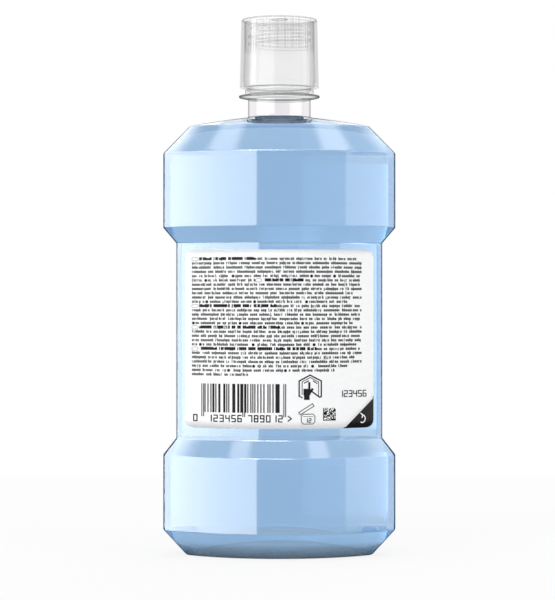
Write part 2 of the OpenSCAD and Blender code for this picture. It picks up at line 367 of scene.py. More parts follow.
def finishOff(shader, volume=None):
    inputs = {"Surface": shader.outputs[0]}
    if volume:
        inputs["Volume"] = volume.outputs[0]
    add("OutputMaterial", inputs)


def spotOf():
    return add("TexCoord").outputs["Object"]


def axesOf(vector):
    return add("SeparateXYZ", {0: vector}).outputs


def lengthOf(vector):
    return add("VectorMath", {0: vector}, operation="LENGTH").outputs["Value"]


def flatLength(x, y):
    return lengthOf(add("CombineXYZ", {"X": x, "Y": y}).outputs[0])


def heightOf():
    return axesOf(spotOf())[2]


def radiusOf():
    return lengthOf(add("VectorMath", {0: spotOf(), 1: (1, 1, 0)}, operation="MULTIPLY").outputs[0])


def angleOf():
    spot = axesOf(spotOf())
    return calc("ARCTAN2", spot[1], spot[0])


def facingOf():
    return add("LayerWeight", {"Blend": 0.5}).outputs["Facing"]


def backOf():
    return add("NewGeometry").outputs["Backfacing"]


def upwardOf():
    return calc("ABSOLUTE", axesOf(add("NewGeometry").outputs["Normal"])[2])


def marked(name):
    return over(add("Attribute", attribute_name=name).outputs["Fac"], 0.5)


def outerShare(share):
    # A share that counts only on a surface's outer side
    return times(share, minus(1.0, backOf()))


def grainOf(scale, detail=4.0, roughness=0.5):
    inputs = {"Vector": spotOf(), "Scale": scale, "Detail": detail, "Roughness": roughness}
    return add("TexNoise", inputs).outputs[0]


def roughOf(grain, smooth, rough, easing="LINEAR"):
    # The noise keeps mostly between 0.3 and 0.7
    return between(grain, 0.3, 0.7, smooth, rough, easing)


def settled(shader, glow, straight=6.5, total=8.5):
    # After many crossings a path ends on a plain glow, in place of the light that it would still have met
    path = add("LightPath").outputs
    deep = larger(over(path["Transparent Depth"], straight), over(path["Ray Depth"], total))
    return mixShader(deep, shader, add("Emission", {"Color": white, "Strength": glow}))


def silhouette(look):
    # How far a point is on the dark line where sight runs along the wall. Its distances from the axes of
    # the face's and the side's arcs tell the narrow sides from the wide faces. The line starts early on the
    # narrow sides and their round corners, a slanting wall needs a more slanting sight, and a level one has
    # no line
    spot = axesOf(spotOf())
    x, y = calc("ABSOLUTE", spot[0]), calc("ABSOLUTE", spot[1])
    face = flatLength(x, plus(y, body["faceAxis"] * metre))
    side = flatLength(plus(x, body["sideAxis"] * metre), y)
    offset = (body["faceRadius"] - body["sideRadius"]) * metre
    narrow = between(minus(face, side), offset + look["narrow"], offset + look["narrow"] / 2)
    upward = upwardOf()
    slant = between(upward, *look["slanting"])
    edges = zip(look["sideEdge"], look["faceEdge"])
    starts = [calc("MULTIPLY_ADD", narrow, early - late, late) for early, late in edges]
    first, full = [calc("MULTIPLY_ADD", slant, look["slantLate"], start) for start in starts]
    line = between(facingOf(), first, full, easing="LINEAR")
    return times(line, between(upward, *look["level"], 1.0, 0.0))


def solidPlastic(look):
    # Clear plastic that refracts. On its outer side, where sight runs along the wall, it darkens to the
    # wall's tint
    rough = roughOf(grainOf(look["grain"], 3.0), look["smooth"], look["rough"])
    # Darker towards the foot: partly its thicker plastic, partly painted shade where it meets the floor
    low = ramp(times(heightOf(), 1 / look["footShadeHeight"]), look["foot"])
    tint = blended(1.0, ramp(facingOf(), look["tint"]), low, "MULTIPLY")
    plastic = add("BsdfPrincipled", {
        "Base Color": tint, "Roughness": rough, "IOR": look["ior"],
        "Transmission Weight": 1.0, "Specular Tint": look["mirror"],
    })
    paler = add("Gamma", {"Color": tint, "Gamma": 0.5}).outputs[0]
    through = add("BsdfRefraction", {"Color": paler, "Roughness": rough, "IOR": look["ior"]})
    gloss = add("BsdfGlossy", {"Color": white, "Roughness": plus(rough, look["sheen"])})
    outer = mixShader(ramp(facingOf(), look["shine"]), through, gloss)
    lined = mixShader(silhouette(look), outer, add("BsdfDiffuse", {"Color": look["along"]}))
    return mixShader(backOf(), lined, plastic)


sights = {  # spans of how level a face is or of how far sight runs along it, and the gloss of thin walls
    "level": (0.6, 0.9), "edge": (0.2, 0.45, 0.85, 0.97), "ribs": (0.3, 0.75, 1.0, 0.1),
    "grain": 400.0, "rough": (0.6, 1.4),
}


def wallSight():
    # How far sight runs along an upright wall, from 0 to 1, with a level face counted as one that is met
    # squarely, and how far a face is on a rounded edge, between upright and level
    facing, upward = facingOf(), upwardOf()
    along = times(facing, between(upward, *sights["level"], 1.0, 0.0))
    return along, zone(upward, *sights["edge"]), facing


def thinPlastic(look, tint, along, bounce=False, shine=None):
    # Thin clear wall: light goes straight through with a tint, and the outer side has a faint gloss. A
    # refraction of index 1 spares the count of transparent crossings
    if bounce:
        through = add("BsdfRefraction", {"Color": tint, "Roughness": 0.0, "IOR": 1.0})
    else:
        through = add("BsdfTransparent", {"Color": tint})
    smooth, rough = [look["rough"] * share for share in sights["rough"]]
    rough = roughOf(grainOf(sights["grain"], 3.0), smooth, rough)
    gloss = add("BsdfGlossy", {"Color": white, "Roughness": rough})
    return mixShader(outerShare(shine or ramp(along, look["shine"])), through, gloss)


# Painted shade: the dark tint that the rounded edges of clear parts take
edgeShadeTint = (0.2, 0.21, 0.21, 1)
capEdgeShades = {"rim": (0.179, 0.1795), "crown": (0.2, 0.2015)}  # heights where the dark of the edges changes


def clearMaterial(name, look, **options):
    # One thin wall with a tint along it, painted shade in darker lines on its ribs, and painted shade on its
    # rounded edges at its rim and its crown
    material = newMaterial(name)
    along, edge, facing = wallSight()
    height = heightOf()
    tint = ramp(along, look["tint"])
    # Painted shade: a wave round the ribbed stretch darkens one line for each rib, most where sight meets the
    # wall squarely
    if "ribs" in look:
        ribShaded = times(between(height, *look["ribsFrom"]), over(radiusOf(), look["ribsBeyond"]),
                       between(facing, *sights["ribs"]))
        wave = calc("SINE", times(angleOf(), look["ribCount"]))
        tint = blended(ribShaded, tint, ramp(calc("MULTIPLY_ADD", wave, 0.5, 0.5), look["ribs"]), "MULTIPLY")
    # Painted shade on the rounded edges, by height: the rim's share below, the middle's, and the crown's at
    # the top
    lower = between(height, *capEdgeShades["rim"], look["rim"], look["middle"])
    edgeShade = times(edge, between(height, *capEdgeShades["crown"], lower, look["crown"]))
    finishOff(settled(thinPlastic(look, blended(edgeShade, tint, edgeShadeTint), along, **options), look["glow"]))
    material.cycles.emission_sampling = "NONE"
    return material


# In the looks, rim, middle and crown are the shares of painted shade on the rounded edges at those heights
cupLook = {
    "rough": 0.06, "glow": 0.97, "rim": 0.15, "middle": 0.04, "crown": 0.4,
    "shine": greys((0.0, 0.01), (0.19, 0.01), (0.23, 0.035), (0.3, 0.035), (0.35, 0.0)),
    "tint": greys((0.0, 0.98), (0.22, 0.98), (0.28, 0.986), (0.38, 0.955), (0.5, 0.905), (0.62, 0.875),
                  (0.7, 0.8), (0.8, 0.85), (1.0, 0.87)),
    # painted shade of darker lines round the wall, one for each rib
    "ribs": greys((0.0, 0.85), (0.06, 0.92), (0.12, 1.0), (1.0, 1.0)), "ribCount": 32.0,
    "ribsFrom": (0.1921, 0.1931), "ribsBeyond": 0.0142,
}
bandLook = {
    "rough": 0.05, "glow": 0.97, "rim": 0.25, "middle": 0.25, "crown": 0.25,
    "shine": greys((0.0, 0.015), (0.3, 0.015), (0.4, 0.0)),
    "tint": greys((0.0, 0.985), (0.5, 0.97), (0.8, 0.8), (1.0, 0.2)),
}
closureLook = {
    "rough": 0.1, "glow": 0.97, "rim": 1.0, "middle": 0.02, "crown": 0.02,
    "shine": greys((0.0, 0.0), (1.0, 0.0)),
    "tint": greys((0.0, 0.988), (0.45, 0.986), (0.75, 0.975), (1.0, 0.94)),
    # painted shade of darker lines on the knurls, one for each knurl
    "ribs": greys((0.0, 0.84), (0.12, 0.94), (0.24, 1.0), (1.0, 1.0)), "ribCount": 72.0,
    "ribsFrom": (0.1911, 0.1935), "ribsBeyond": 0.0128,
}
cupMaterial = clearMaterial("clear_cup", cupLook)
bandMaterial = clearMaterial("clear_band", bandLook, bounce=True)
closureMaterial = clearMaterial("clear_closure", closureLook, bounce=True)

# The bottle refracts round the liquid. Its push-up, dome and empty neck are thin clear walls, marked plain
# on the mesh, and where the mesh is marked wet, the liquid's own skin does the refracting and the plastic
# lets light straight by
petLook = {
    "ior": 1.57, "mirror": white, "smooth": 0.0, "rough": 0.015, "sheen": 0.055, "grain": 60.0, "glow": 0.9,
    "shine": greys((0.0, 0.05), (0.33, 0.075), (0.6, 0.09), (0.8, 0.06), (1.0, 0.04)),
    "tint": [(0.0, (1, 1, 1)), (0.7, (0.97, 0.985, 0.985)), (1.0, (0.62, 0.66, 0.67))],
    # the darkening towards the foot, up to this height, is partly painted shade of the floor contact
    "footShadeHeight": 0.01,
    "foot": greys((0.0, 0.01), (0.1, 0.09), (0.25, 0.2), (0.4, 0.38), (0.6, 0.85), (0.9, 1.0)),
    "along": (0.06, 0.1, 0.14, 1), "narrow": 0.0008, "sideEdge": (0.48, 0.6), "faceEdge": (0.86, 0.95),
    "slanting": (0.3, 0.6), "slantLate": 0.05, "level": (0.75, 0.85),
}
thinLook = {  # heights and radii in metres
    "rough": 0.05, "domeFoot": 0.1, "neckFoot": 0.1671, "ringFoot": 0.17385, "finishFoot": 0.17635,
    # painted shade on the ring's tip, and on the bead's rounded edges below
    "upper": 0.1735, "rimBeyond": 0.0151, "rimShadeTint": (0.36, 0.37, 0.37, 1),
    "bead": (0.1766, 0.1768, 0.6, 0.2),
    "boreWithin": 0.0103, "boreFoot": 0.167, "boreTint": (0.995, 0.995, 0.995, 1),
    # painted shade round the neck's root: its heights, the sight it needs and its dark tint
    "rootFoot": 0.16685, "rootTop": (0.1674, 0.1671), "rootSight": (0.25, 0.35),
    "rootTint": (0.36, 0.42, 0.48, 1), "dull": (0.1662, 0.168),
    "arc": (0.6, 0.75, 0.93, 0.99), "arcShare": 0.12, "arcColour": (0.7, 0.8, 0.9, 1),
    "pushUpTint": greys((0.0, 0.97), (0.6, 0.95), (0.85, 0.85), (1.0, 0.6)),
    "pushUpShine": (0.03, 0.03, 0.03, 1),
    "domeTint": [(0.0, (0.98, 0.98, 0.98)), (0.7, (0.96, 0.965, 0.97)), (0.86, (0.55, 0.6, 0.66)),
                 (1.0, (0.15, 0.18, 0.22))],
    "domeShine": greys((0.0, 0.03), (0.5, 0.1), (0.75, 0.06), (1.0, 0.03)),
    "neckTint": [(0.0, (0.91, 0.898, 0.91)), (0.05, (0.92, 0.908, 0.92)), (0.065, (0.99, 0.99, 0.99)),
                 (0.27, (0.99, 0.99, 0.99)), (0.31, (0.935, 0.92, 0.935)), (0.62, (0.94, 0.928, 0.94)),
                 (0.72, (0.8, 0.79, 0.8)), (1.0, (0.5, 0.51, 0.51))],
    "neckShine": greys((0.0, 0.035), (0.28, 0.035), (0.34, 0.0)),
    "ringTint": [(0.0, (0.97, 0.975, 0.973)), (0.65, (0.95, 0.96, 0.956)), (0.85, (0.86, 0.87, 0.866)),
                 (1.0, (0.4, 0.41, 0.41))],
    "finishTint": greys((0.0, 0.992), (0.6, 0.975), (1.0, 0.93)),
}


def thinWalls(look):
    # The tint and the gloss change by height, from the push-up to the finish; the bore, the root and the
    # ring's edge have their own, with painted shade at the root and at the ring's tip and bead, and the
    # push-up's rounded arcs are slightly milky
    height, radius = heightOf(), radiusOf()
    along, edge, facing = wallSight()
    inDome, upper = over(height, look["domeFoot"]), over(height, look["upper"])
    bore = under(radius, look["boreWithin"])
    tint = blended(inDome, ramp(along, look["pushUpTint"]), ramp(facing, look["domeTint"]))
    for part, sight in (("neck", along), ("ring", facing), ("finish", along)):
        tint = blended(over(height, look[part + "Foot"]), tint, ramp(sight, look[part + "Tint"]))
    # Painted shade: the transfer ring's tip is dark grey, and the bead's rounded edges darken to the edge
    # tint
    tint = blended(times(over(radius, look["rimBeyond"]), upper), tint, look["rimShadeTint"])
    tint = blended(times(edge, upper, between(height, *look["bead"])), tint, edgeShadeTint)
    tint = blended(times(bore, over(height, look["boreFoot"])), tint, look["boreTint"])
    # Painted shade: a dark ring round the neck's root, where sight meets the dome slantwise
    rooted = times(between(height, *look["rootTop"]), between(facing, *look["rootSight"]),
                   over(height, look["rootFoot"]))
    tint = blended(rooted, tint, look["rootTint"])
    shine = blended(inDome, look["pushUpShine"], ramp(facing, look["domeShine"]))
    shine = blended(over(height, look["neckFoot"]), shine, ramp(along, look["neckShine"]))
    dull = times(over(height, look["dull"][0]), under(height, look["dull"][1]))
    shine = blended(larger(dull, bore), shine, (0, 0, 0, 1))
    arc = times(zone(upwardOf(), *look["arc"]), look["arcShare"], under(height, look["domeFoot"]))
    milky = add("BsdfDiffuse", {"Color": look["arcColour"]})
    return mixShader(arc, thinPlastic(look, tint, along, shine=shine), milky)


petMaterial = newMaterial("clear_pet")
clear, wet = add("BsdfTransparent"), marked("wet")
thick, thin = mixShader(wet, solidPlastic(petLook), clear), mixShader(wet, thinWalls(thinLook), clear)
pet = mixShader(marked("plain"), thick, thin)
finishOff(settled(pet, petLook["glow"], 5.5))
petMaterial.cycles.emission_sampling = "NONE"

# The liquid's blue comes from a tint where light first enters it and from the depth that it has crossed.
# Its side touches the plastic, so it bends light by the ratio of the two indices, and where the plastic is
# plain, not at all
liquidLook = {
    "contact": 0.849, "density": 8.0, "colour": (0.25, 0.57, 0.83, 1), "skin": (0.4, 0.577, 0.784, 1),
    # painted shade at the neck's root: its colour, and the radius and height within which it darkens
    "root": (0.27, 0.3, 0.32, 1), "rootRadius": 0.0165, "rootFoot": 0.16585,
}
liquidMaterial = newMaterial("blue_liquid")
# Painted shade: light leaving the liquid near the neck's root is darkened, as a dark lens under the dome
root = times(under(radiusOf(), liquidLook["rootRadius"]), over(heightOf(), liquidLook["rootFoot"]), backOf())
entered = under(add("LightPath").outputs["Transmission Depth"], 1.5)
colour = blended(root, blended(outerShare(entered), white, liquidLook["skin"]), liquidLook["root"])
contact = add("BsdfGlass", {"Color": colour, "Roughness": 0.0, "IOR": liquidLook["contact"]})
straight = add("BsdfRefraction", {"Color": colour, "Roughness": 0.0, "IOR": 1.0})
finishOff(mixShader(marked("plain"), contact, straight),
          add("VolumeAbsorption", {"Color": liquidLook["colour"], "Density": liquidLook["density"]}))

paperShades = [(0.35, (0.93, 0.935, 0.94)), (0.65, (0.97, 0.972, 0.975))]
inkShades = [(0.3, (0.006, 0.005, 0.006)), (0.7, (0.014, 0.012, 0.013))]
cornerLook = {  # the black corner of the base page: beyond this radius and under this slanting line
    "axis": 0.0303, "beyond": 0.05392, "line": 0.0252, "grain": 800.0, "rough": (0.35, 0.5), "shine": 0.15,
    "black": [(0.35, (0.008, 0.006, 0.007)), (0.65, (0.014, 0.011, 0.012))],
}
dryLook = {"grain": 0.6, "bump": 0.15, "bumpHeight": 0.1}
foamLook = {"grain": 1200.0, "shades": [(0.35, (0.9, 0.905, 0.905)), (0.65, (0.96, 0.96, 0.96))],
            "clear": (0.97, 0.97, 0.97, 1), "milk": 0.3, "glow": 0.85}


def dryMaterial(name, stops, scale, rough, shine=0.35):
    # Opaque paper or ink: a fine noise moves its colour between two shades, roughens it and raises it
    # slightly
    material = newMaterial(name)
    grain = grainOf(scale, roughness=dryLook["grain"])
    height = dryLook["bumpHeight"] * metre
    bump = add("Bump", {"Strength": dryLook["bump"], "Distance": height, "Height": grain})
    finishOff(add("BsdfPrincipled", {
        "Base Color": ramp(grain, stops), "Roughness": roughOf(grain, *rough, "SMOOTHSTEP"),
        "Specular IOR Level": shine, "Normal": bump.outputs[0],
    }))
    return material


paperMaterial = dryMaterial("label_white", paperShades, 900.0, (0.42, 0.55))
inkMaterial = dryMaterial("label_ink", inkShades, 1500.0, (0.5, 0.6), shine=0.1)
cornerMaterial = newMaterial("label_base")
spot, grain = axesOf(spotOf()), grainOf(cornerLook["grain"])
outward = over(flatLength(spot[0], minus(spot[1], cornerLook["axis"])), cornerLook["beyond"])
corner = under(minus(spot[2], spot[0]), cornerLook["line"])
shade = blended(times(outward, corner), ramp(grain, paperShades), ramp(grain, cornerLook["black"]))
finishOff(add("BsdfPrincipled", {
    "Base Color": shade, "Roughness": roughOf(grain, *cornerLook["rough"], "SMOOTHSTEP"),
    "Specular IOR Level": cornerLook["shine"],
}))
linerMaterial = newMaterial("liner_foam")
foam = add("BsdfDiffuse", {"Color": ramp(grainOf(foamLook["grain"]), foamLook["shades"])})
milky = mixShader(foamLook["milk"], add("BsdfTransparent", {"Color": foamLook["clear"]}), foam)
finishOff(settled(milky, foamLook["glow"]))
linerMaterial.cycles.emission_sampling = "NONE"
print("finishes made")


def place(piece, rider, slot, material, *nodes):
    piece.data.materials.append(material)
    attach(piece, rider)
    if nodes:
        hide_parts(*nodes)
    return piece


# Bottle: one closed wall, from under the push-up, up the outside, over the mouth and back down inside
neck = {
    "radius": 12.0, "fillet": 0.8, "bore": 9.4, "finish": 10.95, "mouth": 201.7, "mouthRound": 0.5,
    "ringFoot": 174.0, "ringTop": 176.2, "ringRadius": 15.45, "ringEdge": 0.7,
    "beadFoot": 177.65, "beadRadius": 12.0, "beadHeight": 1.2,
    "threadRows": 56, "threadFrom": 193.0, "threadTo": 201.0,
    "innerLand": 12.4, "innerTop": 166.3,
}
neckThread = {"foot": 194.1, "pitch": 2.7, "turns": 2.2, "depth": 0.98, "halfFoot": 0.85, "halfCrest": 0.3}


def neckRows(angle):
    # Rows of the outside from the neck's foot to the mouth and of the bore back down, on the body's column
    # angles
    ringMid, halfEdge = (neck["ringFoot"] + neck["ringTop"]) / 2, neck["ringEdge"] / 2
    lower = filleted([
        (body["neckLand"] + 0.5, body["neckFoot"]), (neck["radius"], body["neckFoot"]),
        (neck["radius"], neck["ringFoot"]),
        (neck["ringRadius"], ringMid - halfEdge), (neck["ringRadius"], ringMid + halfEdge),
        (neck["finish"], neck["ringTop"]), (neck["finish"], neck["beadFoot"]),
        (neck["beadRadius"], neck["beadFoot"]), (neck["beadRadius"], neck["beadFoot"] + 0.6),
        (neck["finish"], neck["beadFoot"] + neck["beadHeight"]), (neck["finish"], neck["threadFrom"]),
    ], [neck["fillet"], 0.35, 0.28, 0.28, 0.3, 0.3, 0.2, 0.2, 0.3])[3:]
    threads = np.stack([np.full(neck["threadRows"], neck["finish"]),
                        np.linspace(neck["threadFrom"], neck["threadTo"], neck["threadRows"] + 1)[1:]], 1)
    bore = filleted([
        (neck["finish"], neck["threadTo"]), (neck["finish"], neck["mouth"]), (neck["bore"], neck["mouth"]),
        (neck["bore"], neck["innerTop"]), (neck["innerLand"], neck["innerTop"]),
    ], [neck["mouthRound"], neck["mouthRound"], 0.4])[1:]
    path = np.concatenate([lower, threads, bore])
    rows = allRound(angle + 0 * path[:, :1], path[:, :1] + 0 * angle, path[:, 1:])
    turnAngle = np.arctan2(rows[..., 1], rows[..., 0])
    outside = slice(len(lower), len(lower) + neck["threadRows"])
    ridge = helix(rows[outside, :, 2], turnAngle[outside], neckThread)
    rows[outside, :, :2] *= (1 + ridge / neck["finish"])[..., None]
    return rows


plainMargin = 0.1
outerWall, neckAngles = bodyWall(0)
innerWall = bodyWall(body["wall"])[0]
bottleRows = np.concatenate([
    pushUpRows(12.0, 0), outerWall, neckRows(neckAngles), innerWall[::-1],
    pushUpRows(11.0, body["wall"])[::-1],
])
bottle = skin("bottle_wall", bottleRows, (0, 0, pushUp["height"]), (0, 0, pushUp["height"] + body["wall"]))
inside = np.arange(len(bottleRows)) >= len(bottleRows) - len(innerWall) - pushUp["rows"] - 2
markPoints(bottle, "wet", inside, bottleRows, (False, True))
level = bottleRows[:, 0, 2]
rising = np.arange(len(bottleRows))
base = (rising < pushUp["rows"]) | (rising >= len(bottleRows) - pushUp["rows"])
markPoints(bottle, "plain", base | (level > body["domeFoot"] - plainMargin), bottleRows, (True, True))
place(bottle, "container", "clear_pet", petMaterial, "bottle")
print("bottle made")

# Liquid: fills the wall to the neck's root, with a low meniscus where it meets the plastic
liquid = {"distance": 0.8, "neckRadius": 9.3, "level": 167.3, "meniscus": 0.2, "rows": 10}


def liquidRows():
    wall, angle = bodyWall(liquid["distance"])
    rise = filleted([(liquid["neckRadius"] + 1.5, wall[-1, 0, 2]), (liquid["neckRadius"], wall[-1, 0, 2]),
                     (liquid["neckRadius"], liquid["level"])], 0.2)[1:]
    inward = np.linspace(1, 0.08, liquid["rows"])[1:]
    surface = np.stack([liquid["neckRadius"] * inward,
                        liquid["level"] - liquid["meniscus"] * eased((1 - inward) * 3)], 1)
    path = np.concatenate([rise, surface])
    top = allRound(angle + 0 * path[:, :1], path[:, :1] + 0 * angle, path[:, 1:])
    return np.concatenate([pushUpRows(11.0, liquid["distance"]), wall, top])


fillRows = liquidRows()
fill = skin("mouthwash_fill", fillRows, (0, 0, pushUp["height"] + liquid["distance"]),
            (0, 0, liquid["level"] - liquid["meniscus"]))
inDome = fillRows[:, 0, 2] > body["domeFoot"] - plainMargin - liquid["distance"]
markPoints(fill, "plain", (np.arange(len(fillRows)) < pushUp["rows"]) | inDome, fillRows, (True, True))
place(fill, "container", "blue_liquid", liquidMaterial, "mouthwash")
print("liquid made")

# Cap: tamper band, threaded closure with its knurls, liner and outer dosing cup
band = {"radius": 13.1, "inner": 12.25, "hook": 11.5, "foot": 176.4, "top": 178.0, "hookTop": (0.98, 0.6),
        "stubs": 8, "stubWidth": 1.0, "stubRise": 0.3, "columns": 320}
closure = {"bore": 12.25, "skirt": 13.0, "rim": 178.5, "discFoot": 202.6, "discTop": 203.7,
           "knurlFoot": 191.3, "knurlRadius": 13.4, "knurls": 72, "knurlDepth": 0.3, "columns": 432,
           "threadRows": 44, "threads": (201.5, 191.7), "threadEnds": (201.6, 191.6)}
closureThread = {"foot": 192.75, "pitch": 2.7, "turns": 2.6, "depth": 0.95, "halfFoot": 0.8, "halfCrest": 0.3}
cup = {"rimRadius": 15.15, "topRadius": 14.55, "wall": 1.1, "rim": 178.4, "top": 204.95,
       "ceiling": 203.75, "lip": 2.4, "lipReach": 0.25, "gateRadius": 3.2, "gateDepth": 0.5, "columns": 160}
liner = {"radius": 11.8, "foot": 201.8, "top": 202.5, "columns": 120}
poleRing = 0.5  # radius of the smallest ring round a pole


def bandRows():
    # The band's ring is a closed outline turned about the axis; its top rises at the stubs of the broken
    # bridges
    foot, top, inner, hook = band["foot"], band["top"], band["inner"], band["hook"]
    outline = np.array([(hook, foot), (band["radius"], foot), (band["radius"], top), (inner, top),
                        (inner, foot + band["hookTop"][0]), (hook, foot + band["hookTop"][1])])
    middle = (outline[0] + outline[-1]) / 2
    path = filleted([middle, *outline, middle], 0.14, steps=4, support=0.15)[:-1]
    rows = turned(path, band["columns"])
    angle = np.arctan2(rows[..., 1], rows[..., 0])
    step = 2 * np.pi / band["stubs"]
    away = np.abs((angle % step) - step / 2) * band["radius"]
    outer = eased((path[:, :1] - inner - 0.2) / 0.15) * (path[:, 1:] > top - 0.2)
    rows[..., 2] += band["stubRise"] * outer * eased((band["stubWidth"] / 2 + 0.08 - away) / 0.16)
    return rows


def closureRows():
    # Inner ceiling, threaded bore, rim, plain skirt and knurled stretch; a knurl is a cosine wave round the
    # skirt
    top, foot = closure["threadEnds"]
    bore = filleted([(poleRing, closure["discFoot"]), (closure["bore"], closure["discFoot"]),
                     (closure["bore"], top)], 0.4)
    threads = np.stack([np.full(closure["threadRows"], closure["bore"]),
                        np.linspace(*closure["threads"], closure["threadRows"])], 1)
    outside = filleted([
        (closure["bore"], foot), (closure["bore"], closure["rim"]), (closure["skirt"], closure["rim"]),
        (closure["skirt"], closure["knurlFoot"]), (closure["knurlRadius"] - 0.1, closure["knurlFoot"] + 0.3),
        (closure["knurlRadius"], closure["discTop"]), (poleRing, closure["discTop"]),
    ], [0.2, 0.2, 0.1, 0.1, 0.35])
    rows = turned(np.concatenate([bore, threads, outside]), closure["columns"])
    angle = np.arctan2(rows[..., 1], rows[..., 0])
    inside = slice(len(bore), len(bore) + len(threads))
    ridge = helix(rows[inside, :, 2], angle[inside], closureThread)
    rows[inside, :, :2] *= (1 - ridge / closure["bore"])[..., None]
    radius = np.hypot(rows[..., 0], rows[..., 1])
    gripped = eased((radius - closure["skirt"]) / 0.3)
    wave = closure["knurlDepth"] * gripped * (0.5 - 0.5 * np.cos(closure["knurls"] * angle))
    rows[..., :2] *= (1 - wave / np.maximum(radius, 1))[..., None]
    return rows


def cupPath():
    # Inner ceiling, drafted inner wall, thicker lip, rim, drafted outer wall, rounded top edge and gate
    # recess
    draft = (cup["rimRadius"] - cup["topRadius"]) / (cup["top"] - cup["rim"])
    atCeiling = cup["topRadius"] + draft * (cup["top"] - cup["ceiling"]) - cup["wall"]
    atLip = cup["rimRadius"] - draft * cup["lip"] - cup["wall"]
    lipRadius = cup["rimRadius"] - cup["wall"] - cup["lipReach"]
    return filleted([
        (poleRing, cup["ceiling"]), (atCeiling, cup["ceiling"]), (atLip, cup["rim"] + cup["lip"]),
        (lipRadius, cup["rim"] + cup["lip"] - 0.35), (lipRadius, cup["rim"]), (cup["rimRadius"], cup["rim"]),
        (cup["topRadius"], cup["top"]), (cup["gateRadius"], cup["top"]),
        (cup["gateRadius"] - 0.25, cup["top"] - cup["gateDepth"]), (poleRing, cup["top"] - cup["gateDepth"]),
    ], [0.3, 0.3, 0.3, 0.4, 0.4, 1.2, 0.2, 0.2])


place(skin("tamper_ring", bandRows(), loop=True), "container", "clear_band", bandMaterial, "tamper_band")
place(skin("closure_shell", closureRows(), (0, 0, closure["discFoot"]), (0, 0, closure["discTop"])),
      "cap", "clear_closure", closureMaterial, "screw_closure")
cupPoles = (0, 0, cup["ceiling"]), (0, 0, cup["top"] - cup["gateDepth"])
place(skin("cup_shell", turned(cupPath(), cup["columns"]), *cupPoles),
      "cap", "clear_cup", cupMaterial, "dosing_cup")
linerPath = filleted([(poleRing, liner["foot"]), (liner["radius"], liner["foot"]),
                      (liner["radius"], liner["top"]), (poleRing, liner["top"])], 0.2, steps=4)
place(skin("liner_disc", turned(linerPath, liner["columns"]), (0, 0, liner["foot"]), (0, 0, liner["top"])),
      "liner", "liner_foam", linerMaterial, "seal_liner")
print("cap made")

# Label: two bent pages, the cover with a corner cut away over the printed corner of the base
label = {"width": 71.4, "height": 67.1, "foot": 49.1, "round": 3.0, "margin": 0.3, "thickness": 0.15,
         "baseRadius": 53.85, "coverRadius": 54.05, "cut": 24.6, "columns": 72, "rows": 24}


def bentPage(name, margin, radius, cut, material, slot, node):
    # Page over x and a share v of its height at x: z = low(x) + v (high(x) - low(x)), with round corners in
    # low and high, and y on a circle about the face's axis; a second sheet behind it and a rim close it
    halfWidth, middle = label["width"] / 2 - margin, label["foot"] + label["height"] / 2
    corner = label["round"] - margin
    x = halfWidth * np.sin(np.linspace(-np.pi / 2, np.pi / 2, label["columns"] + 1))
    inCorner = np.clip(np.abs(x) - halfWidth + corner, 0, corner)
    reach = label["height"] / 2 - margin - corner + np.sqrt(corner ** 2 - inCorner ** 2)
    low = np.maximum(middle - reach, x + cut)
    v = np.linspace(0, 1, label["rows"] + 1)[:, None]
    z = low + v * (middle + reach - low)
    sheets = [np.stack([x + 0 * v, body["faceAxis"] - np.sqrt(r * r - x * x) + 0 * v, z], -1)
              for r in (radius + label["thickness"], radius)]
    rows, columns = z.shape
    grid = np.arange(rows * columns).reshape(rows, columns)
    front = np.stack([grid[:-1, :-1], grid[:-1, 1:], grid[1:, 1:], grid[1:, :-1]], -1).reshape(-1, 4)
    rim = np.concatenate([grid[0], grid[1:, -1], grid[-1, -2::-1], grid[-2:0:-1, 0]])
    after = np.roll(rim, -1)
    behind = grid.size
    edge = np.stack([rim + behind, after + behind, after, rim], 1)
    faces = np.concatenate([front, (front + behind)[:, ::-1], edge])
    piece = makeMesh(name, np.concatenate([s.reshape(-1, 3) for s in sheets]), faces.tolist())
    return place(piece, "container", slot, material, node)


uncut = -1000
bentPage("cover_page", label["margin"], label["coverRadius"], label["cut"], paperMaterial, "label_white",
         "label_cover")
bentPage("base_page", 0.0, label["baseRadius"], uncut, cornerMaterial, "label_black", "label_base")

# The print is plain: rows of ticks, a run of bars, a square of dots, small pictures and plain numbers. A
# mark is four corners in the flat of the label, x from its middle and z above the ground
printed = {
    "lift": 0.03, "seed": 7, "rows": 28, "top": 112.7, "pitch": 1.607, "left": -33.1, "advance": 0.69,
    "slots": 94, "drop": 0.42, "gaps": (3, 12), "middle": 0.35, "clear": 1.05, "inset": 0.06, "runs": 26,
    "stem": (0.27, 0.36), "tall": (0.84, 1.14), "tallShare": (0.24, 0.9), "tail": -0.26, "tailShare": 0.1,
    "second": (0.37, 0.82, 0.8), "bar": (0.52, 0.22, 0.28), "barShare": 0.7,
    "levels": [0.0, 0.33, 0.66], "ring": (1.2, 1.25, 0.68, 0.13),
    "ends": [90, 93, 94, 93, 92, 92, 92, 93, 88, 93, 86, 92, 94, 94, 94, 88, 93, 94, 94, 94, 90, 92, 93, 90,
             93, 85, 78, 32],  # the slot at which each row ends
    "bullets": [(4, -17.342), (5, -27.7095), (10, -27.3325), (10, -9.2365), (10, 10.179), (15, -32.4974),
                (15, -14.703), (15, 8.671), (20, -29.783), (20, -9.802), (20, 13.0065), (25, -9.6135),
                (25, 12.441), (26, -19.0385), (26, 2.262), (4, 12.064), (4, 20.735)],  # row and x
    "bold": [(0, 4, 35), (5, 39, 62), (11, 4, 46), (16, 4, 48), (21, 4, 68)],  # row, first and last slot
    "rings": [(0, 0), (5, 35), (11, 0), (16, 0), (21, 0)],  # row and slot
    "disc": [(1.05, 0.62), (0.86, 0.86), (0.62, 1.05)],  # crossed blocks
}
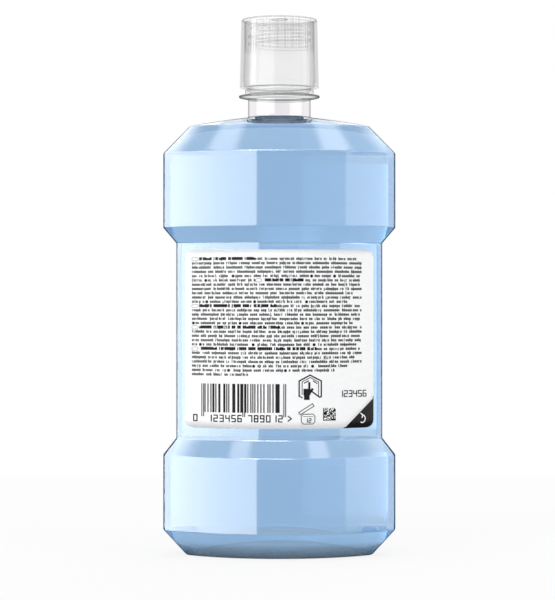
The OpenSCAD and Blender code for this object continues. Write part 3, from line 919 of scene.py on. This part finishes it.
digitStrokes = {"0": "abcdef", "1": "bc", "2": "abged", "3": "abgcd", "4": "fgbc", "5": "afgcd",
                "6": "afgedc", "7": "abc", "8": "abcdefg", "9": "gfabcd"}
strokeEnds = {"a": ((0, 1), (1, 1)), "b": ((1, 1), (1, 0.5)), "c": ((1, 0.5), (1, 0)), "d": ((1, 0), (0, 0)),
              "e": ((0, 0), (0, 0.5)), "f": ((0, 0.5), (0, 1)), "g": ((0, 0.5), (1, 0.5))}


def upright(x, z, width, height):
    # Upright quads from their lower left corners
    x, z, width, height = np.broadcast_arrays(x, z, width, height)
    xs = np.stack([x, x + width, x + width, x], -1)
    zs = np.stack([z, z, z + height, z + height], -1)
    return np.stack([xs, zs], -1).reshape(-1, 4, 2).astype(float)


def strokes(points, width, closed=False, longest=1.5):
    # Quads along a polyline, each square to its edge and longer by a quarter of the width at both ends; an
    # edge is cut into equal parts short enough to follow the bent page
    points = np.array(points, float)
    if closed:
        points = np.concatenate([points, points[:1]])
    way = np.diff(points, axis=0)
    count = np.ceil(np.abs(way[:, 0]) / longest + 0.01).astype(int)
    edge = np.repeat(np.arange(len(count)), count)
    part = (np.arange(len(edge)) - np.repeat(np.cumsum(count) - count, count)) / count[edge]
    points = np.concatenate([points[edge] + way[edge] * part[:, None], points[-1:]])
    before, after = points[:-1], points[1:]
    way = (after - before) / np.linalg.norm(after - before, axis=1)[:, None]
    across = np.stack([-way[:, 1], way[:, 0]], 1) * width / 2
    before, after = before - way * width / 4, after + way * width / 4
    return np.stack([before - across, after - across, after + across, before + across], 1)


def ringPoints(x, z, halfWidth, halfHeight, start=0, stop=360, steps=16):
    angle = np.radians(np.linspace(start, stop, steps, endpoint=stop - start < 360))
    return np.stack([x + halfWidth * np.cos(angle), z + halfHeight * np.sin(angle)], 1)


def numberRow(text, x, z, width, height, pitch, stroke):
    # Plain digits made of up to seven strokes each
    quads = [strokes(np.array(strokeEnds[part]) * (width, height) + (x + i * pitch, z), stroke)
             for i, digit in enumerate(text) for part in digitStrokes[digit]]
    return np.concatenate(quads)


def tickRows():
    # Every row is a run of slots; about one slot in seven is a gap, a filled slot holds one or two stems
    # and mostly a bar, and heights and offsets are picked at random
    rng = np.random.default_rng(printed["seed"])
    shape = (printed["rows"], printed["slots"])
    row, slot = np.indices(shape)
    x = printed["left"] + slot * printed["advance"]
    z = printed["top"] - row * printed["pitch"] - printed["drop"]
    gap = np.zeros(shape, bool)
    runs = np.cumsum(rng.integers(*printed["gaps"], (printed["rows"], printed["runs"])), 1)
    np.put_along_axis(gap, np.minimum(runs, printed["slots"] - 1), True, 1)
    shown = ~gap & (slot < np.array(printed["ends"])[:, None])
    for line, place in printed["bullets"]:
        shown[line] &= np.abs(x[line] + printed["middle"] - place) > printed["clear"]
    bold = np.zeros(shape, bool)
    for line, first, last in printed["bold"]:
        bold[line, first:last] = True
        shown[line, max(first - 4, 0):first] = False
    stem = np.where(bold, *printed["stem"][::-1])
    tall = np.where(rng.random(shape) < np.where(bold, *printed["tallShare"][::-1]), *printed["tall"][::-1])
    low = np.where(rng.random(shape) < printed["tailShare"], printed["tail"], 0.0)
    firstStem = upright(x + printed["inset"], z + low, stem, tall - low)[shown.ravel()]
    offset, short, share = printed["second"]
    second = shown & (rng.random(shape) < share)
    secondStem = upright(x + offset, z, stem, np.where(bold, tall, short))[second.ravel()]
    barred = shown & (rng.random(shape) < printed["barShare"])
    level = rng.choice(printed["levels"], shape)
    width, thin, thick = printed["bar"]
    bars = upright(x + printed["inset"], z + level, width, np.where(bold, thick, thin))[barred.ravel()]
    line, place = np.array(printed["bullets"]).T
    middle = printed["top"] - line * printed["pitch"]
    discs = [upright(place - wide / 2, middle - high / 2, wide, high) for wide, high in printed["disc"]]
    before, halfWidth, halfHeight, stroke = printed["ring"]
    line, place = np.array(printed["rings"]).T
    centres = zip(printed["left"] + place * printed["advance"] + before,
                  printed["top"] - line * printed["pitch"])
    rings = [strokes(ringPoints(*centre, halfWidth, halfHeight), stroke, True) for centre in centres]
    return [firstStem, secondStem, bars, *discs, *rings]


barRun = {"seed": 23, "module": 0.334, "modules": 88, "start": 3.5, "left": -29.4, "foot": 55.1,
          "height": 10.8, "guards": [0, 2, 46.5, 48.5, 92.5, 94.5], "guardFoot": 53.5, "guardHeight": 12.4,
          "digits": (51.75, 1.3, 2.3, 2.27, 0.46)}


def barBlock():
    # Upright bars and gaps of one to four modules in a random run, with longer pairs at both ends and the
    # middle
    rng = np.random.default_rng(barRun["seed"])
    module, left = barRun["module"], barRun["left"]
    edges = np.concatenate([[0], np.cumsum(rng.choice([1, 1, 1, 2, 2, 3, 4], 48))])
    edges = edges * barRun["modules"] / edges[-1]
    bars = upright(left + module * (barRun["start"] + edges[:-1:2]), barRun["foot"],
                   module * np.diff(edges)[::2] + 0.08, barRun["height"])
    guards = upright(left + module * np.array(barRun["guards"]), barRun["guardFoot"], module * 1.1,
                     barRun["guardHeight"])
    numbers = [numberRow(text, x, *barRun["digits"])
               for text, x in (("0", -32.4), ("123456", -26.9), ("789012", -11.6))]
    return [bars, guards, *numbers, strokes([(3.2, 53.9), (4.5, 52.95), (3.2, 52.0)], 0.45)]


pictureStrokes = {  # points, width, and whether the line closes
    "leaflet": [([(7.4, 61.2), (7.4, 67.0), (11.5, 69.2), (15.7, 67.0), (15.7, 61.2), (15.1, 60.9),
                  (11.6, 63.5)], 0.52),
                ([(8.5, 62.0), (8.5, 66.7), (11.5, 68.3), (14.7, 66.6), (14.7, 61.6)], 0.3),
                ([(7.4, 61.4), (8.6, 60.7)], 0.4), ([(9.3, 66.2), (10.9, 67.1)], 0.42),
                ([(12.7, 67.0), (14.1, 66.1)], 0.42)],
    "jar": [([(7.2, 55.2), (12.4, 58.5)], 0.3), ([(7.8, 54.4), (13.0, 57.6)], 0.3),
            ([(7.2, 55.2), (7.8, 54.4)], 0.3), ([(12.4, 58.5), (13.0, 57.6)], 0.3),
            ([(8.2, 53.9), (8.2, 51.7), (9.0, 50.9), (12.5, 50.9), (13.3, 51.7), (13.3, 53.9), (12.6, 54.6),
              (8.9, 54.6)], 0.3, True),
            ([(8.9, 53.7), (12.7, 53.7)], 0.18)],
}
dotSquare = {"seed": 5, "cells": 13, "size": 4.75, "left": 16.4, "foot": 52.1, "filled": 0.6}


def pictures():
    # An opened leaflet with a pointing hand, a plain open jar and a square of random dots
    leaflet, jar = [[strokes(*line) for line in pictureStrokes[name]] for name in ("leaflet", "jar")]
    hand = [upright(9.2, 59.9, 2.0, 2.4), upright(9.0, 61.7, 2.6, 2.4), upright(10.8, 62.6, 0.8, 4.0),
            strokes([(11.2, 62.3), (12.4, 64.0)], 0.9), upright(10.4, 59.9, 0.9, 3.4)]
    cells, size = dotSquare["cells"], dotSquare["size"] / dotSquare["cells"]
    column, row = np.indices((cells, cells))
    filled = np.random.default_rng(dotSquare["seed"]).random((cells, cells)) < dotSquare["filled"]
    filled |= (column == 0) | (row == 0)
    dots = upright(dotSquare["left"] + column * size, dotSquare["foot"] + row * size, size, size)
    onJar = numberRow("12", 9.7, 51.5, 0.8, 1.45, 1.35, 0.3)
    beside = numberRow("123456", 22.6, 61.0, 1.15, 2.2, 1.8, 0.38)
    return leaflet + hand + jar + [onJar, dots[filled.ravel()], beside]


def printMarks(name, quads, radius, material):
    # Each mark is a thin closed block on the bent page: y = face axis - sqrt(r^2 - x^2), with r below and
    # above the page's skin
    flat = np.concatenate(quads)
    x, z = flat[..., 0], flat[..., 1]
    layers = [np.stack([x, body["faceAxis"] - np.sqrt(r * r - x * x), z], -1)
              for r in (radius - printed["lift"], radius + printed["lift"])]
    corners = np.concatenate(layers, 1)
    block = np.array([[4, 5, 6, 7], [3, 2, 1, 0], [0, 1, 5, 4], [1, 2, 6, 5], [2, 3, 7, 6], [3, 0, 4, 7]])
    faces = (np.arange(len(flat))[:, None, None] * 8 + block).reshape(-1, 4)
    piece = makeMesh(name, corners.reshape(-1, 3), faces.tolist())
    piece.data.polygons.foreach_set("use_smooth", np.zeros(len(faces), bool))
    return place(piece, "container", "label_black", material)


marks = tickRows() + barBlock() + pictures()
printMarks("print_marks", marks, label["coverRadius"] + label["thickness"], inkMaterial)
arrow = [strokes(line, 0.38) for line in (ringPoints(31.3, 52.5, 1.15, 1.45, -120, 75, 12),
                                          [(30.7, 54.6), (31.5, 53.9)], [(31.2, 52.9), (31.5, 53.9)])]
printMarks("pick_mark", arrow, label["baseRadius"] + label["thickness"], paperMaterial)
print("label made")

# Studio: camera at the photograph's place, pale floor, soft lamps and a white room
view = {"lens": 147, "sensor": 36, "place": (-0.0007, -0.939, 0.0973), "turn": (np.pi / 2, 0, 0)}
camera = bpy.data.objects.new("camera", bpy.data.cameras.new("camera"))
camera.data.lens, camera.data.sensor_width = view["lens"], view["sensor"]
camera.location, camera.rotation_euler = view["place"], view["turn"]
scene.collection.objects.link(camera)
scene.camera = camera

# Spans of height, of degrees to the side (radians in hindSides) and of |x| / z (in strips). Two strengths
# after a span are those before and beyond it
studio = {
    "diffuse": 0.78, "inside": 0.85, "insideCards": 0.25,
    "low": (-0.3, -0.02, 0.12, 0.5), "high": (0.1, 0.5, 0.0, 0.5),
    "leftEdge": (-16.5, -17.5), "leftCard": (-17.0, -88.0, 5.2, 6.9), "cardHeights": (-0.35, -0.2, 0.62, 0.8),
    "nearRight": (19.0, 24.0, 0.0, 0.2), "farRight": (50.5, 52.5, 0.0, 1.5), "rightFoot": (-0.094, -0.09),
    "behind": (8.0, 12.0, 0.0, 1.2),
    "fore": 11.0, "foreSides": (-40.0, -25.0, 2.0, 22.0), "foreHeights": (0.15, 0.25, 0.8, 0.9),
    "hind": 4.5, "hindSides": (-0.9, -0.6, 0.6, 0.9), "hindHeights": (0.5, 0.6, 0.85, 0.95),
    "overhead": (0.5, 0.7, 0.0, 3.0), "strips": (0.24, 0.32, 0.42, 0.5),
}


def lightWorld():
    # Sight and refracted sight meet plain white. A path that has been reflected meets soft cards to the
    # left and right of the viewer, high before and behind the bottle, and two strips overhead. Diffuse
    # light is even
    scene.world = started(bpy.data.worlds.new("studio"))
    x, y, z = axesOf(add("TexCoord").outputs["Generated"])
    before, beyond = under(y, 0.0), over(y, 0.0)
    side = calc("ARCTAN2", x, calc("ABSOLUTE", y))
    degrees = times(side, 180 / np.pi)
    left = times(between(degrees, *studio["leftEdge"]), between(degrees, *studio["leftCard"], "LINEAR"))
    right = plus(between(degrees, *studio["nearRight"]), between(degrees, *studio["farRight"]))
    right = times(right, between(z, *studio["rightFoot"]))
    behind = times(beyond, between(degrees, *studio["behind"]))
    level = times(zone(z, *studio["cardHeights"]), plus(left, right, behind))
    fore = times(zone(z, *studio["foreHeights"]), zone(degrees, *studio["foreSides"]), before, studio["fore"])
    hind = times(zone(z, *studio["hindHeights"]), zone(side, *studio["hindSides"]), beyond, studio["hind"])
    cards = plus(level, fore, hind)
    tilt = calc("ABSOLUTE", calc("DIVIDE", x, larger(z, 0.05)))
    overhead = times(between(z, *studio["overhead"]), zone(tilt, *studio["strips"]))
    outer = plus(cards, overhead, plus(between(z, *studio["low"]), between(z, *studio["high"])))
    inner = plus(times(cards, studio["insideCards"]), studio["inside"])
    path = add("LightPath").outputs
    mirrored = chosen(over(path["Transmission Depth"], 0.5), outer, inner)
    seen = chosen(over(path["Glossy Depth"], 0.5), 1.0, mirrored)
    strength = chosen(path["Is Diffuse Ray"], seen, studio["diffuse"])
    add("OutputWorld", {"Surface": add("Background", {"Color": white, "Strength": strength}).outputs[0]})


floorLook = {"size": 6000.0, "rings": 48, "columns": 96, "first": 0.02, "colour": (0.93, 0.93, 0.93, 1),
             "shaded": (0.12, 0.5), "glow": 0.85}


def floorFinish():
    # Shaded near the object, where its shadow falls, and plain white to sight further out; mirrored sight
    # and sight from below pass through
    material = newMaterial("floor")
    path = add("LightPath").outputs
    far = between(lengthOf(spotOf()), *floorLook["shaded"])
    sight = larger(path["Is Camera Ray"], larger(path["Is Glossy Ray"], path["Is Transmission Ray"]))
    matte = add("BsdfDiffuse", {"Color": floorLook["colour"]})
    shining = add("Emission", {"Color": white, "Strength": 1.0})
    ground = mixShader(times(sight, larger(far, floorLook["glow"])), matte, shining)
    passed = larger(over(path["Glossy Depth"], 0.5), backOf())
    finishOff(mixShader(passed, ground, add("BsdfTransparent")))
    return material


def layFloor():
    # A round floor: the radius of its rings grows as the square of their number
    angle = np.arange(floorLook["columns"]) * 2 * np.pi / floorLook["columns"]
    radius = floorLook["size"] * np.linspace(floorLook["first"], 1, floorLook["rings"])[:, None] ** 2
    rows = np.stack([radius * np.cos(angle), radius * np.sin(angle), 0 * radius + 0 * angle], -1)
    floor = skin("floor", rows[::-1], None, (0, 0, 0))
    floor.data.materials.append(floorFinish())


lamps = {"keyLamp": ((-0.9, -1.3, 1.3), 6.6), "fillLamp": ((1.2, -1.0, 0.8), 2.8),
         "backLamp": ((0.3, 1.4, 1.3), 3.3)}
lampSize, lampAim = 1.0, (0, 0, 0.1)


def setLamps():
    for name, (spot, power) in lamps.items():
        lamp = bpy.data.objects.new(name, bpy.data.lights.new(name, "AREA"))
        lamp.data.energy, lamp.data.size = power, lampSize
        lamp.location = spot
        aim = np.array(lampAim) - np.array(spot)
        lamp.rotation_euler = (np.arctan2(np.hypot(aim[0], aim[1]), -aim[2]), 0, np.arctan2(-aim[0], aim[1]))
        lamp.visible_glossy = lamp.visible_transmission = lamp.visible_camera = False
        scene.collection.objects.link(lamp)


lightWorld()
layFloor()
setLamps()
scene.view_settings.view_transform = "Standard"
print("studio set")
